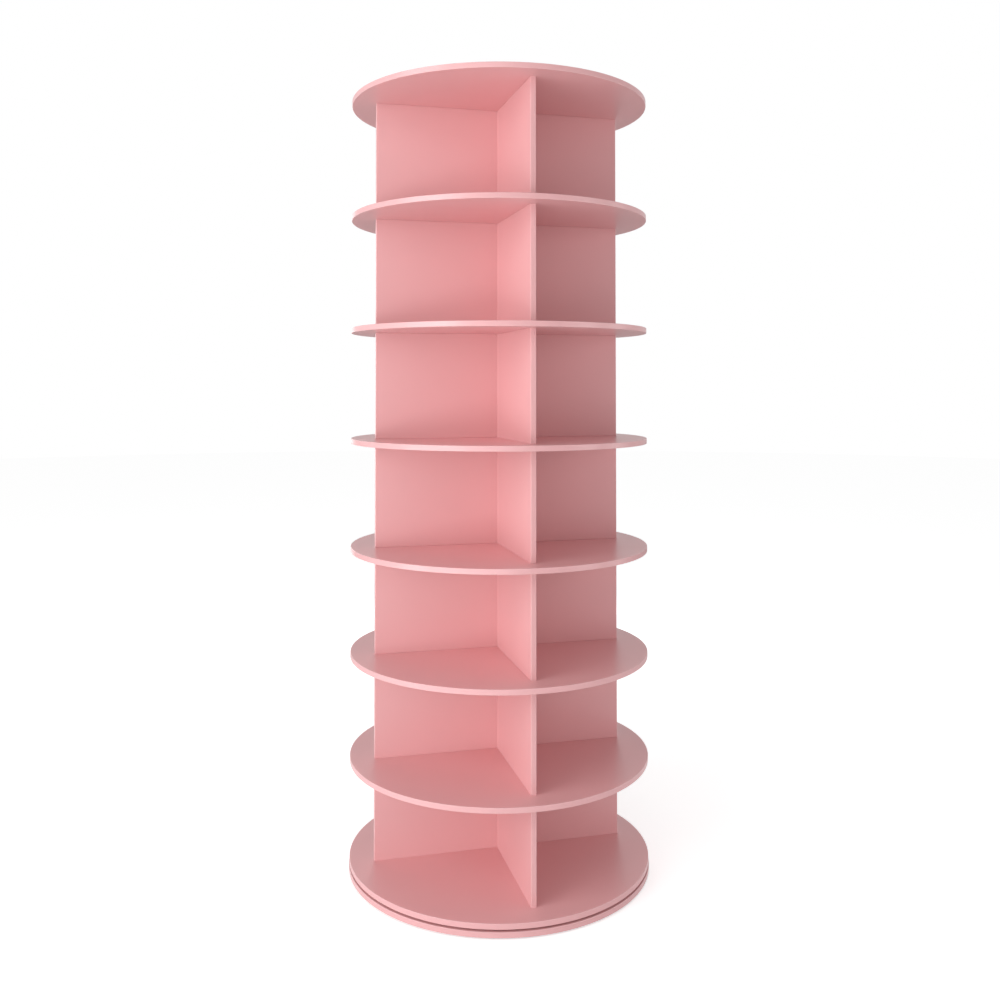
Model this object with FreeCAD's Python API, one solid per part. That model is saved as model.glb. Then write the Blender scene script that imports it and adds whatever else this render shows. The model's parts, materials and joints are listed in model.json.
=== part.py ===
import FreeCAD, Part
import math
import os

# A round shoe tower that turns on a flat ring bearing: eight equal round boards, carried by crosses of upright
# panels, above a fixed base board. Millimetres, +Z up. The origin lies on the turning axis at floor level. The
# wide panels run along X, and the half panels at right angles to them along Y, the front ones towards -Y.

# Boards
SHELF_RADIUS = 350.0
BASE_LIP = 1.0  # of the base board beyond the turning boards
BOARD_THICKNESS = 12.0
EDGE_ROUND = 1.0  # eased arris of every rim and free panel edge
SLOT_HEIGHT = 4.5  # open slot between the base board and the bottom board

# Panels
PANEL_THICKNESS = 12.0
BOARD_OVERHANG = 54.0  # from a panel's free end out to the shelf rim
TIER_COUNT = 7
LOWEST_PANEL_HEIGHT = 220.0
PANEL_GROWTH = 1.028  # height of a tier's panels over that of the tier below

# Wood screws and dowels that join boards and panels, placed by their distance from the axis
SCREW_STATION = 160.0
INNER_DOWEL_STATION = 80.0
OUTER_DOWEL_STATION = 240.0
DOWEL_RADIUS = 3.0
DOWEL_CHAMFER = 0.6
LONG_DOWEL = 40.0  # goes right through a shelf
SHORT_DOWEL = 30.0  # blind in the bottom board and the top board
CROSS_DOWEL = 60.0  # goes right through a wide panel
BLIND_DEPTH = 8.0  # of a short dowel in its board
CROSS_DOWEL_INSET = 55.0  # from a panel's lower and upper edge to its cross dowels
CAP_RADIUS = 6.5
CAP_HEIGHT = 1.2
CAP_ROUND = 0.7

# Ring bearing
BALL_CIRCLE = 104.0
BALL_RADIUS = 2.0
BALL_COUNT = 30
RACE_CLEARANCE = 0.3
RING_GAP = 2.0  # between the two rings
RING_WIDTH = 15.0
RING_STEP = 1.0  # each ring stands clear of the other ring's board by this
RING_CHAMFER = 0.6
BEARING_HEIGHT = 8.5
RING_SCREW_COUNT = 6
CAGE_THICKNESS = 1.2
CAGE_MARGIN = 0.9  # strip left above and below the balls
CAGE_CLEARANCE = 0.15
POCKET_CLEARANCE = 1.0
ACCESS_HOLE_RADIUS = 7.0

# Foot pads
FOOT_COUNT = 6
FOOT_RADIUS = 20.0
FOOT_HEIGHT = 4.0
FOOT_INSET = 46.0  # from the base rim to a pad's centre
FOOT_ROUND = 0.8
FOOT_SCREW_RECESS = 1.0

# Countersunk screws
SCREW_HEAD_RADIUS = 4.0
SCREW_SHANK_RADIUS = 2.0
SCREW_POINT = 3.5
PANEL_SCREW_LENGTH = 40.0
INNER_RING_SCREW_LENGTH = 16.0
OUTER_RING_SCREW_LENGTH = 14.0
MACHINE_SCREW_POINT = 0.5
FOOT_SCREW_HEAD_RADIUS = 3.5
FOOT_SCREW_SHANK_RADIUS = 1.75
FOOT_SCREW_POINT = 2.5
FOOT_SCREW_LENGTH = 12.0
HEAD_SINK = 0.2  # below the surface
DRIVE_WIDTH = 0.9
DRIVE_ARM = 2.2  # from the middle of the cross recess to the end of an arm
DRIVE_DEPTH = 1.2

# Clearances of what sits in a hole
HOLE_CLEARANCE = 0.05
HOLE_END_GAP = 0.5

UP = FreeCAD.Vector(0, 0, 1)
ORIGIN = FreeCAD.Vector(0, 0, 0)

# Worked out from the sizes above
BASE_RADIUS = SHELF_RADIUS + BASE_LIP
PANEL_REACH = SHELF_RADIUS - BOARD_OVERHANG
BASE_Z = FOOT_HEIGHT
BASE_TOP_Z = BASE_Z + BOARD_THICKNESS
PANEL_HEIGHTS = [LOWEST_PANEL_HEIGHT * PANEL_GROWTH**tier for tier in range(TIER_COUNT)]
BOARD_Z = [BASE_TOP_Z + SLOT_HEIGHT]  # undersides of the turning boards, from the bottom board up
for height in PANEL_HEIGHTS:
    BOARD_Z.append(BOARD_Z[-1] + BOARD_THICKNESS + height)
TOP = TIER_COUNT  # index of the top board

BEARING_Z = BOARD_Z[0] - BEARING_HEIGHT
RING_HEIGHT = BEARING_HEIGHT - RING_STEP
BALL_Z = BEARING_Z + BEARING_HEIGHT / 2
OUTER_RING_INSIDE = BALL_CIRCLE + RING_GAP / 2
OUTER_RING_OUTSIDE = OUTER_RING_INSIDE + RING_WIDTH
INNER_RING_OUTSIDE = BALL_CIRCLE - RING_GAP / 2
INNER_RING_INSIDE = INNER_RING_OUTSIDE - RING_WIDTH
OUTER_SCREW_CIRCLE = (OUTER_RING_INSIDE + OUTER_RING_OUTSIDE) / 2
INNER_SCREW_CIRCLE = (INNER_RING_INSIDE + INNER_RING_OUTSIDE) / 2
ARM_ANGLES = (0, 90, 180, 270)

# Head radius, shank radius, length and length of the point of each kind of screw
PANEL_SCREW = (SCREW_HEAD_RADIUS, SCREW_SHANK_RADIUS, PANEL_SCREW_LENGTH, SCREW_POINT)
INNER_RING_SCREW = (SCREW_HEAD_RADIUS, SCREW_SHANK_RADIUS, INNER_RING_SCREW_LENGTH, SCREW_POINT)
OUTER_RING_SCREW = (SCREW_HEAD_RADIUS, SCREW_SHANK_RADIUS, OUTER_RING_SCREW_LENGTH, MACHINE_SCREW_POINT)
FOOT_SCREW = (FOOT_SCREW_HEAD_RADIUS, FOOT_SCREW_SHANK_RADIUS, FOOT_SCREW_LENGTH, FOOT_SCREW_POINT)


def turned(points):
    """The solid that a closed outline of (radius, height) points sweeps in a full turn about Z."""
    wire = Part.makePolygon([FreeCAD.Vector(r, 0, z) for r, z in [*points, points[0]]])
    return Part.Face(wire).revolve(ORIGIN, UP, 360)


def cylinder(radius, low, high, x=0.0, y=0.0):
    return Part.makeCylinder(radius, high - low, FreeCAD.Vector(x, y, low))


def moved(shape, x, y, z, pointing_down=False):
    """A copy of a shape that stands along +Z from the origin, put at a place and turned over if asked."""
    turn = FreeCAD.Rotation(FreeCAD.Vector(1, 0, 0), 180 if pointing_down else 0)
    copy = shape.copy()
    copy.Placement = FreeCAD.Placement(FreeCAD.Vector(x, y, z), turn)
    return copy


def circle_places(radius, angles):
    return [(radius * math.cos(math.radians(a)), radius * math.sin(math.radians(a))) for a in angles]


def even_angles(count):
    return [360.0 * i / count for i in range(count)]


def screw(kind):
    """A countersunk screw with its head at the origin and its point along +Z."""
    head, shank, length, point = kind
    body = turned([(0, 0), (head, 0), (shank, head - shank), (shank, length - point), (0, length)])
    drive = []
    for along, across in ((DRIVE_ARM, DRIVE_WIDTH / 2), (DRIVE_WIDTH / 2, DRIVE_ARM)):
        corner = FreeCAD.Vector(-along, -across, 0)
        drive.append(Part.makeBox(2 * along, 2 * across, DRIVE_DEPTH, corner))
    return body.cut(drive)


def screw_hole(kind, mouth):
    """What a screw's hole removes, with a straight mouth above the head as deep as the head lies."""
    head, shank, length, _ = kind
    wide, narrow = head + HOLE_CLEARANCE, shank + HOLE_CLEARANCE
    cone, end = wide - narrow, length + HOLE_END_GAP
    return turned([(0, -mouth), (wide, -mouth), (wide, 0), (narrow, cone), (narrow, end), (0, end)])


def dowel(length):
    """A dowel with chamfered ends, centred on the origin along Z."""
    wide, narrow = DOWEL_RADIUS, DOWEL_RADIUS - DOWEL_CHAMFER
    half, end = length / 2, length / 2 - DOWEL_CHAMFER
    return turned([(0, -half), (narrow, -half), (wide, -end), (wide, end), (narrow, half), (0, half)])


def dowel_hole(length):
    half = length / 2 + HOLE_END_GAP
    return cylinder(DOWEL_RADIUS + HOLE_CLEARANCE, -half, half)


def arm_places(station):
    return circle_places(station, ARM_ANGLES)


def dowel_places():
    return arm_places(INNER_DOWEL_STATION) + arm_places(OUTER_DOWEL_STATION)


def level_dowel(level):
    """Length and centre height of the dowels that cross one turning board's joints with its panels."""
    if level == 0:
        return SHORT_DOWEL, BOARD_Z[0] + BOARD_THICKNESS - BLIND_DEPTH + SHORT_DOWEL / 2
    if level == TOP:
        return SHORT_DOWEL, BOARD_Z[TOP] + BLIND_DEPTH - SHORT_DOWEL / 2
    return LONG_DOWEL, BOARD_Z[level] + BOARD_THICKNESS / 2


def level_screw(level):
    """Head height of one turning board's screws, and whether they point down."""
    if level == 0:
        return BOARD_Z[0] + HEAD_SINK, False
    return BOARD_Z[level] + BOARD_THICKNESS - HEAD_SINK, True


def at_level(dowel_shape, screw_shape, level):
    """Dowel and screw shapes at their places in one turning board."""
    _, dowel_z = level_dowel(level)
    screw_z, down = level_screw(level)
    dowels = [moved(dowel_shape, x, y, dowel_z) for x, y in dowel_places()]
    screws = [moved(screw_shape, x, y, screw_z, down) for x, y in arm_places(SCREW_STATION)]
    return dowels, screws


def level_holes(level):
    length, _ = level_dowel(level)
    dowels, screws = at_level(dowel_hole(length), screw_hole(PANEL_SCREW, HEAD_SINK), level)
    return dowels + screws


def circular_edges(shape, above=-math.inf, below=math.inf):
    """The full-circle edges of a shape, all of them or those above or below a height."""
    circles = [edge for edge in shape.Edges if len(edge.Vertexes) == 1]
    return [edge for edge in circles if above < edge.CenterOfMass.z < below]


def rim_rounded(radius, low):
    disc = cylinder(radius, low, low + BOARD_THICKNESS)
    return disc.makeFillet(EDGE_ROUND, circular_edges(disc))


def board_kind(level):
    return {0: "bottom_board", TOP: "top_board"}.get(level, "shelf")


def turning_board(level):
    board = rim_rounded(SHELF_RADIUS, BOARD_Z[level]).cut(level_holes(level))
    if level == 0:
        hole = screw_hole(INNER_RING_SCREW, 0)
        board = board.cut([moved(hole, x, y, inner_screw_z()) for x, y in inner_screw_places()])
    return board


def panel_box(x_low, x_high, y_low, y_high, tier, free_ends):
    """An upright panel of one tier, with the upright edges at its free ends eased."""
    low = BOARD_Z[tier] + BOARD_THICKNESS
    corner = FreeCAD.Vector(x_low, y_low, low)
    box = Part.makeBox(x_high - x_low, y_high - y_low, PANEL_HEIGHTS[tier], corner)
    edges = []
    for edge in box.Edges:
        ends = [vertex.Point for vertex in edge.Vertexes]
        upright = abs(ends[0].z - ends[1].z) > EDGE_ROUND
        reach = max(abs(ends[0].x), abs(ends[0].y))
        if upright and abs(reach - free_ends) < EDGE_ROUND:
            edges.append(edge)
    return box.makeFillet(EDGE_ROUND, edges)


def cross_dowel_heights(tier):
    low = BOARD_Z[tier] + BOARD_THICKNESS
    return low + CROSS_DOWEL_INSET, low + PANEL_HEIGHTS[tier] - CROSS_DOWEL_INSET


def along_y(shape, height):
    """A copy of a shape that is centred on the origin along Z, laid along Y on the axis at a height."""
    copy = shape.copy()
    turn = FreeCAD.Rotation(FreeCAD.Vector(1, 0, 0), 90)
    copy.Placement = FreeCAD.Placement(FreeCAD.Vector(0, 0, height), turn)
    return copy


def tier_holes(tier):
    cross = [along_y(dowel_hole(CROSS_DOWEL), height) for height in cross_dowel_heights(tier)]
    return level_holes(tier) + level_holes(tier + 1) + cross


def tier_panels(tier):
    half = PANEL_THICKNESS / 2
    panels = {
        "wide": panel_box(-PANEL_REACH, PANEL_REACH, -half, half, tier, PANEL_REACH),
        "front": panel_box(-half, half, -PANEL_REACH, -half, tier, PANEL_REACH),
        "back": panel_box(-half, half, half, PANEL_REACH, tier, PANEL_REACH),
    }
    holes = tier_holes(tier)
    return {name: panel.cut(holes) for name, panel in panels.items()}


def inner_screw_places():
    return circle_places(INNER_SCREW_CIRCLE, even_angles(RING_SCREW_COUNT))


def inner_screw_z():
    return BEARING_Z + RING_STEP + HEAD_SINK


def outer_screw_places():
    return circle_places(OUTER_SCREW_CIRCLE, even_angles(RING_SCREW_COUNT))


def outer_screw_z():
    return BASE_Z + HEAD_SINK


def ring(inside, outside, low):
    """A bearing ring with chamfered corners and its half of the ball race."""
    high, c = low + RING_HEIGHT, RING_CHAMFER
    body = turned(
        [
            (inside, low + c),
            (inside + c, low),
            (outside - c, low),
            (outside, low + c),
            (outside, high - c),
            (outside - c, high),
            (inside + c, high),
            (inside, high - c),
        ]
    )
    race = Part.makeTorus(BALL_CIRCLE, BALL_RADIUS + RACE_CLEARANCE, FreeCAD.Vector(0, 0, BALL_Z))
    return body.cut(race)


def bearing_outer_ring():
    hole = screw_hole(OUTER_RING_SCREW, 0)
    holes = [moved(hole, x, y, outer_screw_z()) for x, y in outer_screw_places()]
    return ring(OUTER_RING_INSIDE, OUTER_RING_OUTSIDE, BEARING_Z).cut(holes)


def bearing_inner_ring():
    hole = screw_hole(INNER_RING_SCREW, HEAD_SINK)
    holes = [moved(hole, x, y, inner_screw_z()) for x, y in inner_screw_places()]
    return ring(INNER_RING_INSIDE, INNER_RING_OUTSIDE, BEARING_Z + RING_STEP).cut(holes)


def ball_places():
    return circle_places(BALL_CIRCLE, even_angles(BALL_COUNT))


def bearing_balls():
    balls = [Part.makeSphere(BALL_RADIUS, FreeCAD.Vector(x, y, BALL_Z)) for x, y in ball_places()]
    return Part.makeCompound(balls)


def bearing_cage():
    half_height = BALL_RADIUS + CAGE_CLEARANCE + CAGE_MARGIN
    low, high = BALL_Z - half_height, BALL_Z + half_height
    outside, inside = BALL_CIRCLE + CAGE_THICKNESS / 2, BALL_CIRCLE - CAGE_THICKNESS / 2
    strip = turned([(inside, low), (outside, low), (outside, high), (inside, high)])
    windows = []
    for x, y in ball_places():
        outward = FreeCAD.Vector(x, y, 0).normalize()
        start = outward * (BALL_CIRCLE - CAGE_THICKNESS) + FreeCAD.Vector(0, 0, BALL_Z)
        windows.append(Part.makeCylinder(BALL_RADIUS + CAGE_CLEARANCE, 2 * CAGE_THICKNESS, start, outward))
    return strip.cut(windows)


def foot_places():
    return circle_places(BASE_RADIUS - FOOT_INSET, even_angles(FOOT_COUNT))


def foot_holes():
    hole = screw_hole(FOOT_SCREW, FOOT_SCREW_RECESS)
    return [moved(hole, x, y, FOOT_SCREW_RECESS) for x, y in foot_places()]


def base_board():
    pocket = cylinder(OUTER_RING_OUTSIDE + POCKET_CLEARANCE, BEARING_Z, BASE_TOP_Z)
    pocket = pocket.cut(cylinder(INNER_RING_INSIDE - POCKET_CLEARANCE, BEARING_Z, BASE_TOP_Z))
    access = cylinder(ACCESS_HOLE_RADIUS, BASE_Z, BEARING_Z, INNER_SCREW_CIRCLE)
    hole = screw_hole(OUTER_RING_SCREW, HEAD_SINK)
    ring_holes = [moved(hole, x, y, outer_screw_z()) for x, y in outer_screw_places()]
    return rim_rounded(BASE_RADIUS, BASE_Z).cut([pocket, access, *ring_holes, *foot_holes()])


def foot_pads():
    pads = []
    for x, y in foot_places():
        pad = cylinder(FOOT_RADIUS, 0, FOOT_HEIGHT, x, y)
        lower_edge = circular_edges(pad, below=FOOT_HEIGHT / 2)
        pads.append(pad.makeFillet(FOOT_ROUND, lower_edge).cut(foot_holes()))
    return Part.makeCompound(pads)


def screws_at(kind, places, z):
    """Screws that point up, with their heads at one height."""
    return Part.makeCompound([moved(screw(kind), x, y, z) for x, y in places])


def top_screw_caps():
    low = BOARD_Z[TOP] + BOARD_THICKNESS
    caps = []
    for x, y in arm_places(SCREW_STATION):
        cap = cylinder(CAP_RADIUS, low, low + CAP_HEIGHT, x, y)
        upper_edge = circular_edges(cap, above=low + CAP_HEIGHT / 2)
        caps.append(cap.makeFillet(CAP_ROUND, upper_edge))
    return Part.makeCompound(caps)


def joint_hardware():
    """The dowels and screws in the turning boards, as groups of like pieces."""
    groups = {"short_dowels": [], "long_dowels": [], "cross_dowels": []}
    groups.update({"bottom_board_screws": [], "shelf_screws": [], "top_board_screws": []})
    for level in range(TIER_COUNT + 1):
        length, _ = level_dowel(level)
        dowels, screws = at_level(dowel(length), screw(PANEL_SCREW), level)
        groups["short_dowels" if level in (0, TOP) else "long_dowels"] += dowels
        groups[f"{board_kind(level)}_screws"] += screws
    for tier in range(TIER_COUNT):
        groups["cross_dowels"] += [along_y(dowel(CROSS_DOWEL), z) for z in cross_dowel_heights(tier)]
    return {name: Part.makeCompound(pieces) for name, pieces in groups.items()}


def fixed_base():
    return {
        "base_board": base_board(),
        "foot_pads": foot_pads(),
        "foot_pad_screws": screws_at(FOOT_SCREW, foot_places(), FOOT_SCREW_RECESS),
        "bearing_outer_ring": bearing_outer_ring(),
        "bearing_outer_ring_screws": screws_at(OUTER_RING_SCREW, outer_screw_places(), outer_screw_z()),
    }


def ball_set():
    return {"bearing_balls": bearing_balls(), "bearing_cage": bearing_cage()}


def turning_tower():
    nodes = {
        "bearing_inner_ring": bearing_inner_ring(),
        "bearing_inner_ring_screws": screws_at(INNER_RING_SCREW, inner_screw_places(), inner_screw_z()),
        "top_screw_caps": top_screw_caps(),
        **joint_hardware(),
    }
    for level in range(TIER_COUNT + 1):
        number = f"_{level}" if board_kind(level) == "shelf" else ""
        nodes[board_kind(level) + number] = turning_board(level)
    for tier in range(TIER_COUNT):
        for side, panel in tier_panels(tier).items():
            nodes[f"tier_{tier + 1}_{side}_panel"] = panel
    return nodes


os.makedirs("parts", exist_ok=True)
for node, shape in {**fixed_base(), **ball_set(), **turning_tower()}.items():
    shape.exportStep(f"parts/{node}.step")
    print(f"{node}: {len(shape.Solids)} solids, valid {shape.isValid()}, {shape.Volume / 1000:.2f} cm3")
print(f"height {BOARD_Z[TOP] + BOARD_THICKNESS:.1f}")
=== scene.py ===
import json
import math

import bmesh
import bpy
from bmesh.types import BMFace, BMVert
from bpy.props import FloatProperty, FloatVectorProperty, IntProperty, PointerProperty
from bpy.types import Operator, Panel, PropertyGroup
from mathutils import Matrix, Vector

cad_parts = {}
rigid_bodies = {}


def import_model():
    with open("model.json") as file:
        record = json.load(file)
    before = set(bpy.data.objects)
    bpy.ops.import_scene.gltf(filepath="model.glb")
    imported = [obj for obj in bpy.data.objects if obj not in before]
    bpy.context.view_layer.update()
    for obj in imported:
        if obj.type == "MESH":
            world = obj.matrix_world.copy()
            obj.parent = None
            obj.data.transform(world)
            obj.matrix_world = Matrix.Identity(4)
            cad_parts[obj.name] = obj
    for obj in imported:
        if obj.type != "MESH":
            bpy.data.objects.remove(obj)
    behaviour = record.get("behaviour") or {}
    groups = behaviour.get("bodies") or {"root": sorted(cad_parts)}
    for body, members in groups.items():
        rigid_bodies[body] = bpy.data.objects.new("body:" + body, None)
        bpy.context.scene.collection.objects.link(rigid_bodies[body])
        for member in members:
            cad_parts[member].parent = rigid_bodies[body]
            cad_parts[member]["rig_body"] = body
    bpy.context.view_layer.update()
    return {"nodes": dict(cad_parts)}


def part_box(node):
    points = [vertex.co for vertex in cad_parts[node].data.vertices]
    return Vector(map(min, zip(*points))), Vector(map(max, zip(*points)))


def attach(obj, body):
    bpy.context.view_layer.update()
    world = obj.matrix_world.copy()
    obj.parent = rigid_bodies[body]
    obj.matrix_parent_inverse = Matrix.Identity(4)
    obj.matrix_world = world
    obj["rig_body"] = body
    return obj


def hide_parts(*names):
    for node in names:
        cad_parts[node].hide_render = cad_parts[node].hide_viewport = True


bl_info = {
    "name": "Rotating shoe tower",
    "version": (1, 0, 0),
    "blender": (4, 5, 0),
    "location": "3D View > Sidebar > Shoe Tower",
    "description": "Makes the boards, panels and fittings of a rotating shoe tower, and a plain studio",
    "category": "Object",
}

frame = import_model()

MM = 0.001

# Nodes of the frame, with the boards from the floor up
TIER_COUNT = sum(name.endswith("_wide_panel") for name in frame["nodes"])
TURNING_BOARDS = ["bottom_board", *[f"shelf_{number}" for number in range(1, TIER_COUNT)], "top_board"]
PANEL_SIDES = ("wide", "front", "back")
DOWELS = ("long_dowels", "short_dowels", "cross_dowels")
BOARD_SCREWS = ("bottom_board_screws", "shelf_screws", "top_board_screws")
RING_SCREWS = ("bearing_inner_ring_screws", "bearing_outer_ring_screws")
FOOT_SCREWS = "foot_pad_screws"

SHARP = math.radians(60)  # edges that turn more than this are creases
SHANK_SHARE = 0.5  # of a screw head's radius
GOLDEN_STEP = 0.618  # spreads the shades of the pieces evenly
SENSOR_WIDTH = 36.0  # of the camera, in millimetres
WHITE = (1.0, 1.0, 1.0, 1.0)

# Straight runs round each round shape
HOLE_STEPS = 24
ACCESS_STEPS = 48
CAP_STEPS = 48
PAD_STEPS = 64
FLOOR_STEPS = 96
POCKET_STEPS = 128
CAP_RINGS = 96  # of the sphere that a cap's dome is cut from
JOINT_RUNS = 2  # across the eased edge of a joint

# Points nearer to each other than this are one point
TURNED_WELD = 0.0001 * MM
CAD_WELD = 0.001 * MM

# Sockets of a Mix node that mixes colours
MIX_FIRST, MIX_SECOND, MIX_RESULT = 6, 7, 2


def length(name, description, default):
    return FloatProperty(
        name=name,
        description=description,
        default=default,
        min=0.0,
        unit="LENGTH",
        subtype="DISTANCE",
        precision=5,
    )


def count(name, description, default):
    return IntProperty(name=name, description=description, default=default, min=3)


def share(name, description, default):
    return FloatProperty(
        name=name, description=description, default=default, min=0.0, max=1.0, subtype="FACTOR"
    )


def turn(name, description, degrees):
    return FloatProperty(
        name=name, description=description, default=math.radians(degrees), unit="ROTATION", subtype="ANGLE"
    )


def colour(name, description, red, green, blue):
    return FloatVectorProperty(
        name=name,
        description=description,
        default=(red, green, blue),
        size=3,
        min=0.0,
        max=1.0,
        subtype="COLOR",
    )


class JoinerySizes(PropertyGroup):
    rim_segments: count("Rim segments", "Straight runs round a board's rim", 288)
    round_segments: count("Round segments", "Runs across an eased arris", 4)
    edge_round: length("Edge round", "Eased arris of the rims and of the panels' free ends", 1.0 * MM)
    joint_ease: length("Joint ease", "Eased edge where a panel meets a board or another panel", 0.5 * MM)
    hole_clearance: length("Hole clearance", "Between a dowel or screw and its hole", 0.05 * MM)
    hole_end_gap: length("Hole end gap", "Left at the end of a dowel or screw", 0.5 * MM)
    screw_mouth: length("Screw mouth", "Depth over a screw head that is cut away", 0.3 * MM)
    pocket_clearance: length("Pocket clearance", "Between the bearing and its pocket", 1.0 * MM)
    access_radius: length("Access hole radius", "Hole in the base board under the inner screws", 7.0 * MM)


class FittingSizes(PropertyGroup):
    flute_count: count("Flutes", "Glue flutes round a dowel", 12)
    flute_depth: length("Flute depth", "How deep a glue flute is", 0.25 * MM)
    dowel_chamfer: length("Dowel chamfer", "Chamfer at a dowel's ends", 0.6 * MM)
    cap_lip: length("Cap lip", "Upright edge of a screw cap under its dome", 0.3 * MM)
    pad_chamfer: length("Pad chamfer", "Chamfer at a foot pad's lower edge", 0.8 * MM)
    pad_recess: length("Pad recess", "Height of the screw head's mouth in a foot pad", 1.0 * MM)
    groove_count: count("Sole grooves", "Ring grooves under a foot pad", 4)
    groove_width: length("Groove width", "Width of a ring groove", 1.2 * MM)
    groove_depth: length("Groove depth", "Depth of a ring groove", 0.5 * MM)


class FinishColours(PropertyGroup):
    lacquer: colour("Lacquer", "Pink satin lacquer of the boards and panels", 0.79, 0.43, 0.438)
    fibreboard: colour("Fibreboard", "Raw fibreboard inside the holes", 0.42, 0.29, 0.18)
    cap: colour("Screw cap", "Moulded pink screw caps", 0.78, 0.42, 0.43)
    aluminium: colour("Aluminium", "Turned bearing rings", 0.80, 0.81, 0.82)
    steel: colour("Ball steel", "Polished bearing balls", 0.62, 0.62, 0.63)
    zinc: colour("Zinc", "Plated screws", 0.66, 0.67, 0.69)
    nylon: colour("Nylon", "Ball cage", 0.82, 0.80, 0.74)
    rubber: colour("Rubber", "Foot pads", 0.035, 0.034, 0.034)
    beech: colour("Beech", "Dowels", 0.62, 0.42, 0.25)
    floor: colour("Floor", "Pale studio floor", 0.80, 0.80, 0.80)


class StudioSettings(PropertyGroup):
    camera_turn: turn("Camera turn", "From the front round to the left", 14.3)
    camera_tilt: turn("Camera tilt", "How far the camera looks up", 1.480)
    camera_distance: length("Camera distance", "From the turning axis to the camera", 2.4359)
    camera_height: length("Camera height", "Height of the camera above the floor", 1.1241)
    camera_lens: FloatProperty(name="Lens", description="Focal length in mm", default=36.598, min=1.0)
    shift_x: FloatProperty(name="Shift X", description="Sideways shift of the frame", default=0.0011)
    shift_y: FloatProperty(name="Shift Y", description="Upward shift of the frame", default=-0.1419)
    wall_light: share("Wall light", "Soft light that the white walls give", 0.305)
    wall_shine: share("Wall shine", "How bright the white walls look in a reflection", 0.705)
    floor_radius: length("Floor radius", "Radius of the studio floor", 15.0)
    shadow_reach: length("Shadow reach", "How far from the tower the floor keeps its near lift", 1.0)
    lamp_reach: length("Lamp reach", "How far from the tower the floor takes on its far lift", 2.4)
    near_lift: share("Near lift", "Brightness added near the tower where the camera sees the floor", 0.55)
    far_lift: share("Far lift", "Brightness added beyond the lamps where the camera sees the floor", 0.74)
    near_shine: share("Near shine", "Near lift where a reflection shows the floor", 0.40)
    far_shine: share("Far shine", "Far lift where a reflection shows the floor", 0.0)


class ShoeTowerSettings(PropertyGroup):
    joinery: PointerProperty(type=JoinerySizes, name="Joinery", description="Boards, panels and holes")
    fittings: PointerProperty(type=FittingSizes, name="Fittings", description="Dowels, caps and pads")
    colours: PointerProperty(type=FinishColours, name="Colours", description="Colours of the finishes")
    studio: PointerProperty(type=StudioSettings, name="Studio", description="Camera, light and floor")


def settings():
    return bpy.context.scene.shoe_tower


# Shader nodes


def add(tree, kind, sockets=None, **options):
    """A new shader node with its options set and its sockets given values or joined to other sockets."""
    made = tree.nodes.new("ShaderNode" + kind)
    for name, value in options.items():
        setattr(made, name, value)
    for name, value in (sockets or {}).items():
        if isinstance(value, bpy.types.NodeSocket):
            tree.links.new(value, made.inputs[name])
        else:
            made.inputs[name].default_value = value
    return made


def math_node(tree, operation, first, second=0.0):
    return add(tree, "Math", {0: first, 1: second}, operation=operation).outputs[0]


def attribute(tree, name, output="Fac"):
    return add(tree, "Attribute", attribute_name=name).outputs[output]


def position(tree):
    return add(tree, "TexCoord").outputs["Object"]


def noise(tree, place, patch, detail=2.0):
    """Soft noise from 0 to 1 in patches about as wide as patch, a length or a socket that gives one."""
    scale = math_node(tree, "DIVIDE", 1.0, patch)
    sockets = {"Vector": place, "Scale": scale, "Detail": detail}
    return add(tree, "TexNoise", sockets).outputs["Fac"]


def effect(name, inputs, outputs, build):
    """A node group shared by the materials, made once. build takes its tree and its input sockets, and
    gives the sockets to put out."""
    made = bpy.data.node_groups.get(name)
    if made:
        return made
    made = bpy.data.node_groups.new(name, "ShaderNodeTree")
    for socket, kind in inputs.items():
        made.interface.new_socket(socket, in_out="INPUT", socket_type="NodeSocket" + kind)
    for socket, kind in outputs.items():
        made.interface.new_socket(socket, in_out="OUTPUT", socket_type="NodeSocket" + kind)
    given = made.nodes.new("NodeGroupInput")
    put_out = made.nodes.new("NodeGroupOutput")
    for socket, value in build(made, given.outputs).items():
        made.links.new(value, put_out.inputs[socket])
    return made


def use(tree, group, **sockets):
    """Places an effect in a material. A socket's name is written with _ for a space."""
    placed = tree.nodes.new("ShaderNodeGroup")
    placed.node_tree = group
    for name, value in sockets.items():
        socket = placed.inputs[name.replace("_", " ")]
        if isinstance(value, bpy.types.NodeSocket):
            tree.links.new(value, socket)
        else:
            socket.default_value = value
    return placed.outputs


def surface_ripple():
    """Fine waves that a sprayed or moulded surface dries or sets with, as a height in metres."""

    def build(tree, given):
        wave = math_node(tree, "SUBTRACT", noise(tree, given["Position"], given["Patch"]), 0.5)
        return {"Height": math_node(tree, "MULTIPLY", wave, given["Depth"])}

    inputs = {"Position": "Vector", "Patch": "Float", "Depth": "Float"}
    return effect("Surface ripple", inputs, {"Height": "Float"}, build)


def tone_drift():
    """Shifts a colour's brightness a little over a surface, and by a shade from piece to piece."""

    def build(tree, given):
        cloud = math_node(tree, "SUBTRACT", noise(tree, given["Position"], given["Patch"]), 0.5)
        own = math_node(tree, "SUBTRACT", given["Shade"], 0.5)
        change = math_node(tree, "MULTIPLY", math_node(tree, "ADD", cloud, own), given["Amount"])
        factor = math_node(tree, "ADD", change, 1.0)
        toned = add(tree, "VectorMath", {0: given["Color"], "Scale": factor}, operation="SCALE")
        return {"Color": toned.outputs[0]}

    inputs = {"Color": "Color", "Position": "Vector", "Patch": "Float", "Amount": "Float", "Shade": "Float"}
    return effect("Tone drift", inputs, {"Color": "Color"}, build)


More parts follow.
